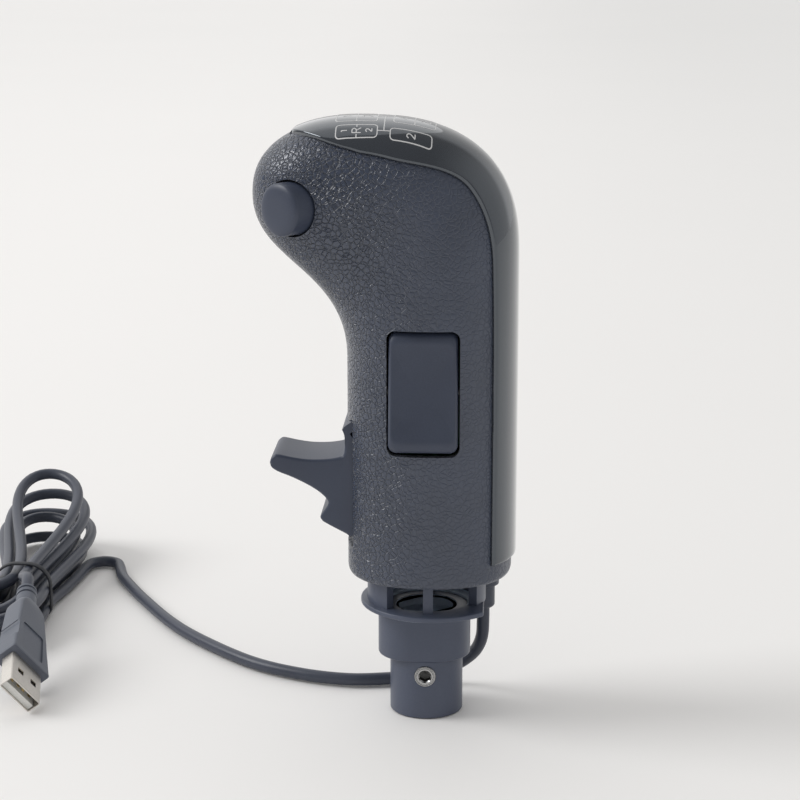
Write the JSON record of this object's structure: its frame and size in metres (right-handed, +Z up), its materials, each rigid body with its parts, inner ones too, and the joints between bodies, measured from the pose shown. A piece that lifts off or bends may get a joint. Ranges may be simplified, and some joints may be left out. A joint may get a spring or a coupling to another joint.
{
  "type": "sim racing gear shifter",
  "caption": "Truck-style gear shift grip with range lever, splitter rocker, thumb button, gloss back cover, shaft socket and a tied USB lead.",
  "frame": {"origin": "centre of the neck's lower face, at the mouth of the shaft socket", "axes": "+Z up along the shaft, -X towards the nose and range lever, -Y towards the rocker and thumb button"},
  "size_m": [0.1802, 0.1745, 0.1658],
  "materials": {
    "shell": "fine leather grain",
    "gloss": "high gloss with a pale printed shift pattern",
    "base": "satin",
    "controls": "smooth satin",
    "steel": "plain",
    "switch": "plain",
    "board": "solder mask",
    "header": "plain",
    "rubber": "satin",
    "tie": "satin",
    "nickel": "bright nickel",
    "gold": "gold plated"
  },
  "bodies": {
    "grip": {"left_shell": "shell", "right_shell": "shell", "back_cover": "gloss", "base_plug": "base", "set_screw": "steel", "shell_screws": "steel", "lever_pin": "steel", "rocker_pin": "steel", "board_screws": "steel", "toggle_spring": "steel", "button_spring": "steel", "range_switch": "switch", "rocker_switches": "switch", "button_switch": "switch", "controller_chip": "switch", "main_board": "board", "button_board": "board", "cord_header": "header", "plug_tongue": "header", "strain_relief": "rubber", "cord_run": "rubber", "cord_hank": "rubber", "cord_tail": "rubber", "inner_lead": "rubber", "plug_overmould": "rubber", "cord_tie": "tie", "plug_shell": "nickel", "plug_contacts": "gold"},
    "lever": {"range_lever": "controls"},
    "rocker": {"splitter_rocker": "controls"},
    "button": {"thumb_button": "controls"}
  },
  "joints": [
    {"name": "range_lever_tilt", "type": "hinge", "parent": "grip", "child": "lever", "pos_m": [-0.008, 0, 0.066], "axis": [0, 1, 0], "range_deg": [-14, 0], "deforming": ["toggle_spring"]},
    {"name": "splitter_rocker_tilt", "type": "hinge", "parent": "grip", "child": "rocker", "pos_m": [-0.0003, -0.0165, 0.0947], "axis": [1, 0, 0], "range_deg": [0, 14]},
    {"name": "thumb_button_press", "type": "slide", "parent": "grip", "child": "button", "axis": [0.6561, 0.7547, 0], "range_m": [0, 0.0015], "stiffness_N_per_m": 800, "springref_m": -0.001, "deforming": ["button_spring"]}
  ]
}
